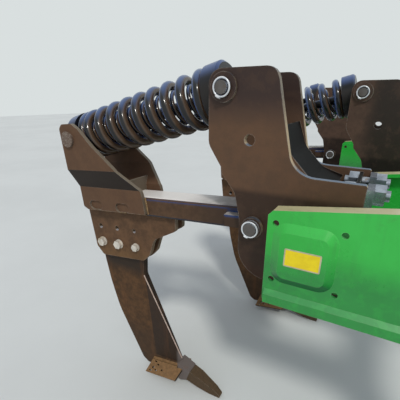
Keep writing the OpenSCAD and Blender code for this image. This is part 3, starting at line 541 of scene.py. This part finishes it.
def windCoil(name, unit, s, c):
    front = jointPlace["spring_swing_" + unit]
    rear = jointPlace["guide_swing_" + unit]
    along = (rear - front).normalized()
    side = Vector((0, 1, 0))
    down = along.cross(side)
    length = (rear - front).length - s["frontSeat"] - s["rearSeat"]
    curve = bpy.data.curves.new(name + "_" + unit, "CURVE")
    curve.dimensions = "3D"
    curve.bevel_depth = c["wire"]
    curve.bevel_resolution = 5
    curve.use_fill_caps = True
    spline = curve.splines.new("POLY")
    count = int(round(c["turns"] * s["pointsPerTurn"])) + 1
    spline.points.add(count - 1)
    for i in range(count):
        t = i / s["pointsPerTurn"]
        angle = math.radians(360 * t + c["start"])
        spot = front + along * coilAdvance(t, length, s, c) + c["radius"] * (
            side * math.cos(angle) + down * math.sin(angle))
        spline.points[i].co = (*spot, 1)
    coil = bpy.data.objects.new(name + "_" + unit, curve)
    bpy.context.collection.objects.link(coil)
    onlySelect(coil)
    bpy.ops.object.convert(target="MESH")
    coil = bpy.context.active_object
    cleanNormals(coil)
    finishPiece(coil, "front_guide_" + unit, finishes["coil"], smooth=60)
    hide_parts("spring_" + unit)
    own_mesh(coil)


for unit in legUnits:
    for coilName, coil in springSet["coils"].items():
        windCoil(coilName, unit, springSet, coil)
print("springs wound")


# ---- blank label on the raised field of the right frame plate ------------
labelSet = {"left": 0.136, "right": 0.228, "low": -0.034, "high": 0.017, "faceY": -1.054, "thick": 0.0008,
            "corner": 0.004, "border": 0.0035}


def makePlainMaterial(name, tones, roughness, scale):
    material = bpy.data.materials.new(name)
    material.use_nodes = True
    tree = material.node_tree
    shader = tree.nodes["Principled BSDF"]
    place = tree.nodes.new("ShaderNodeTexCoord").outputs["Object"]
    patch = rampNode(tree, noiseNode(tree, place, scale, 5.0), 0.35, 0.65)
    tree.links.new(mixColour(tree, patch, hexColour(tones[0]), hexColour(tones[1])), shader.inputs["Base Color"])
    tree.links.new(mixValue(tree, patch, roughness, roughness + 0.15), shader.inputs["Roughness"])
    return material


def makeLabel():
    s = labelSet
    pivot = jointPlace["trip_right"]
    width, height = s["right"] - s["left"], s["high"] - s["low"]
    middle = (pivot.x + s["left"] + width / 2, s["faceY"], pivot.z + s["low"] + height / 2)
    bpy.ops.object.select_all(action="DESELECT")
    bpy.ops.mesh.primitive_plane_add(size=1, location=middle, rotation=(math.pi / 2, 0, 0))
    label = newPiece("blankLabel")
    label.scale = (width, height, 1)
    settle(label)
    openEdit(label)
    bpy.ops.mesh.select_all(action="SELECT")
    bpy.ops.mesh.bevel(offset=s["corner"], segments=4, affect="VERTICES")
    bpy.ops.mesh.select_all(action="SELECT")
    bpy.ops.mesh.extrude_region_move(TRANSFORM_OT_translate={"value": (0, -s["thick"], 0)})
    bpy.ops.mesh.inset(thickness=s["border"], depth=0)
    closeEdit()
    label.data.materials.append(makePlainMaterial("labelBorder", ("#c9c3a4", "#b3ad8e"), 0.4, 60.0))
    label.data.materials.append(makePlainMaterial("labelYellow", ("#fbe20a", "#f0d40c"), 0.35, 40.0))
    for face in label.data.polygons:
        inner = abs(face.center.y - (s["faceY"] - s["thick"])) < 1e-5 and face.area > width * height * 0.5
        face.material_index = 1 if inner else 0
    cleanNormals(label)
    finishPiece(label, "root", None)


makeLabel()


# ---- split rings that keep the linch pins in, near side of each unit ------
ringSet = {"radius": 0.0245, "wire": 0.0026, "knuckle": 0.0035,
           "places": {"springRing": (-0.110, -0.1373, 0.400), "pivotRing": (0.0, -0.1485, 0.0)}}


def makeRing(name, unit):
    s = ringSet
    pivot = jointPlace["trip_" + unit]
    centre = pivot + Vector(s["places"][name])
    bpy.ops.object.select_all(action="DESELECT")
    bpy.ops.mesh.primitive_torus_add(location=centre, rotation=(math.pi / 2, 0, 0), major_radius=s["radius"],
                                     minor_radius=s["wire"], major_segments=48, minor_segments=10)
    ring = newPiece(name + "_" + unit)
    settle(ring)
    openEdit(ring)
    closeEdit()
    low = centre + Vector((-0.35, 0, -0.94)) * s["radius"]
    for face in ring.data.polygons:
        away = face.center - centre
        face.select = (face.center - low).length < 0.0065 and away.length > s["radius"] + s["wire"] * 0.3
    bpy.ops.object.mode_set(mode="EDIT")
    bpy.ops.mesh.extrude_region_shrink_fatten(TRANSFORM_OT_shrink_fatten={"value": s["knuckle"]})
    closeEdit()
    cleanNormals(ring)
    finishPiece(ring, "root", finishes["ringSteel"], smooth=50)


for unit in legUnits:
    for ringName in ringSet["places"]:
        makeRing(ringName, unit)
print("rings on")


# ---- bright worn strip down the near front edge of each shank, partly a painted highlight kept to the lit near side ---
shinHighlightSet = {"top": (-0.5575, -0.398), "foot": (-0.3655, -0.822), "topY": 0.0148, "footY": 0.0062, "radius": 0.0027,
           "cuts": 60, "waver": 0.0007}


def makeShinWornHighlights(unit):
    s = shinHighlightSet
    pivot = jointPlace["trip_" + unit]
    top = pivot + Vector((s["top"][0], -s["topY"], s["top"][1]))
    foot = pivot + Vector((s["foot"][0], -s["footY"], s["foot"][1]))
    run = foot - top
    bpy.ops.object.select_all(action="DESELECT")
    bpy.ops.mesh.primitive_cylinder_add(vertices=10, radius=s["radius"], depth=run.length,
                                        location=(top + foot) / 2, rotation=run.to_track_quat("Z", "Y").to_euler())
    bead = newPiece("shinWornHighlight_" + unit)
    openEdit(bead)
    for share in range(1, s["cuts"]):
        bpy.ops.mesh.select_all(action="SELECT")
        bpy.ops.mesh.bisect(plane_co=top + run * share / s["cuts"], plane_no=run.normalized())
    bpy.ops.mesh.select_all(action="SELECT")
    bpy.ops.transform.vertex_random(offset=s["waver"], seed=5)
    closeEdit()
    finishPiece(bead, "leg_" + unit, finishes["bead"], smooth=50)


for unit in legUnits:
    makeShinWornHighlights(unit)
print("label and beads on")


# ---- weld rows that hold the ears to the arm -----------------------------
weldSet = {"slope": 3.9, "step": 0.0062, "bead": (0.0052, 0.0036, 0.0042), "armSide": 0.0556,
           "rows": {"under": ((-0.808, -0.0402), (-0.482, -0.0334)), "front": ((-0.4735, -0.028), (-0.4785, 0.034))}}


def makeWeldRow(unit, hand, name):
    s = weldSet
    pivot = jointPlace["trip_" + unit]
    lean = math.radians(s["slope"])
    ends = []
    for x, z in s["rows"][name]:
        ends.append(pivot + Vector((x * math.cos(lean) - z * math.sin(lean), hand * s["armSide"],
                                    x * math.sin(lean) + z * math.cos(lean))))
    run = ends[1] - ends[0]
    count = int(run.length / s["step"]) + 1
    bpy.ops.object.select_all(action="DESELECT")
    bpy.ops.mesh.primitive_ico_sphere_add(subdivisions=2, radius=1, location=ends[0],
                                          rotation=run.to_track_quat("X", "Z").to_euler())
    row = newPiece("earWeld_" + name + "_" + unit + ("_near" if hand < 0 else "_far"))
    row.scale = s["bead"]
    settle(row)
    openEdit(row)
    bpy.ops.mesh.select_all(action="SELECT")
    bpy.ops.transform.vertex_random(offset=0.0007, seed=3)
    closeEdit()
    array = row.modifiers.new("array", "ARRAY")
    array.use_relative_offset = False
    array.use_constant_offset = True
    array.constant_offset_displace = run.normalized() * s["step"]
    array.count = count
    applyModifiers(row)
    finishPiece(row, "leg_" + unit, finishes["weld"], smooth=70)


for unit in legUnits:
    for hand in (-1, 1):
        for rowName in weldSet["rows"]:
            makeWeldRow(unit, hand, rowName)
print("ears welded")


# ---- camera, floor and light ---------------------------------------------
cameraSet = {"at": (0.12638, -1.7632, 1.3296), "ahead": (-0.4489, 0.8098, -0.3778), "right": (0.8746, 0.4848, 0.0),
             "up": (-0.1832, 0.3304, 0.9259), "lens": 27.45, "shiftX": -0.0125, "shiftY": 0.0625}
lightSet = {"world": 0.55, "background": "#d9dfdf", "floor": "#d9dedd", "sun": 1.5, "sunAngle": 8.0,
            "sunFrom": (0.55, -0.75, 1.1)}


def makeCamera():
    s = cameraSet
    data = bpy.data.cameras.new("photoCamera")
    data.lens = s["lens"]
    data.sensor_width = 36
    data.shift_x = s["shiftX"]
    data.shift_y = s["shiftY"]
    data.clip_start = 0.05
    camera = bpy.data.objects.new("photoCamera", data)
    bpy.context.collection.objects.link(camera)
    axes = Matrix([s["right"], s["up"], [-v for v in s["ahead"]]]).transposed()
    camera.matrix_world = Matrix.Translation(s["at"]) @ axes.to_4x4()
    bpy.context.scene.camera = camera


def makeStage():
    s = lightSet
    bpy.ops.object.select_all(action="DESELECT")
    bpy.ops.mesh.primitive_plane_add(size=60, location=(0, 0, -0.0005))
    floor = newPiece("paleFloor")
    floor.data.materials.append(makePlainMaterial("paleFloor", (s["floor"], "#d4d9d8"), 0.8, 0.5))
    world = bpy.data.worlds.new("paleRoom")
    bpy.context.scene.world = world
    world.use_nodes = True
    tree = world.node_tree
    tree.nodes.clear()
    light = tree.nodes.new("ShaderNodeBackground")
    light.inputs["Color"].default_value = hexColour("#f2f6ff")
    light.inputs["Strength"].default_value = s["world"]
    seen = tree.nodes.new("ShaderNodeBackground")
    seen.inputs["Color"].default_value = hexColour(s["background"])
    rays = tree.nodes.new("ShaderNodeLightPath")
    either = tree.nodes.new("ShaderNodeMath")
    either.operation = "MAXIMUM"
    tree.links.new(rays.outputs["Is Camera Ray"], either.inputs[0])
    tree.links.new(rays.outputs["Is Glossy Ray"], either.inputs[1])
    pick = tree.nodes.new("ShaderNodeMixShader")
    tree.links.new(either.outputs[0], pick.inputs[0])
    tree.links.new(light.outputs[0], pick.inputs[1])
    tree.links.new(seen.outputs[0], pick.inputs[2])
    out = tree.nodes.new("ShaderNodeOutputWorld")
    tree.links.new(pick.outputs[0], out.inputs["Surface"])
    sun = bpy.data.lights.new("softSun", "SUN")
    sun.energy = s["sun"]
    sun.angle = math.radians(s["sunAngle"])
    sun.color = (1.0, 0.96, 0.9)
    lamp = bpy.data.objects.new("softSun", sun)
    bpy.context.collection.objects.link(lamp)
    lamp.rotation_euler = Vector(s["sunFrom"]).to_track_quat("Z", "Y").to_euler()
    bpy.context.scene.view_settings.view_transform = "Standard"


makeCamera()
makeStage()
print("camera and light set")
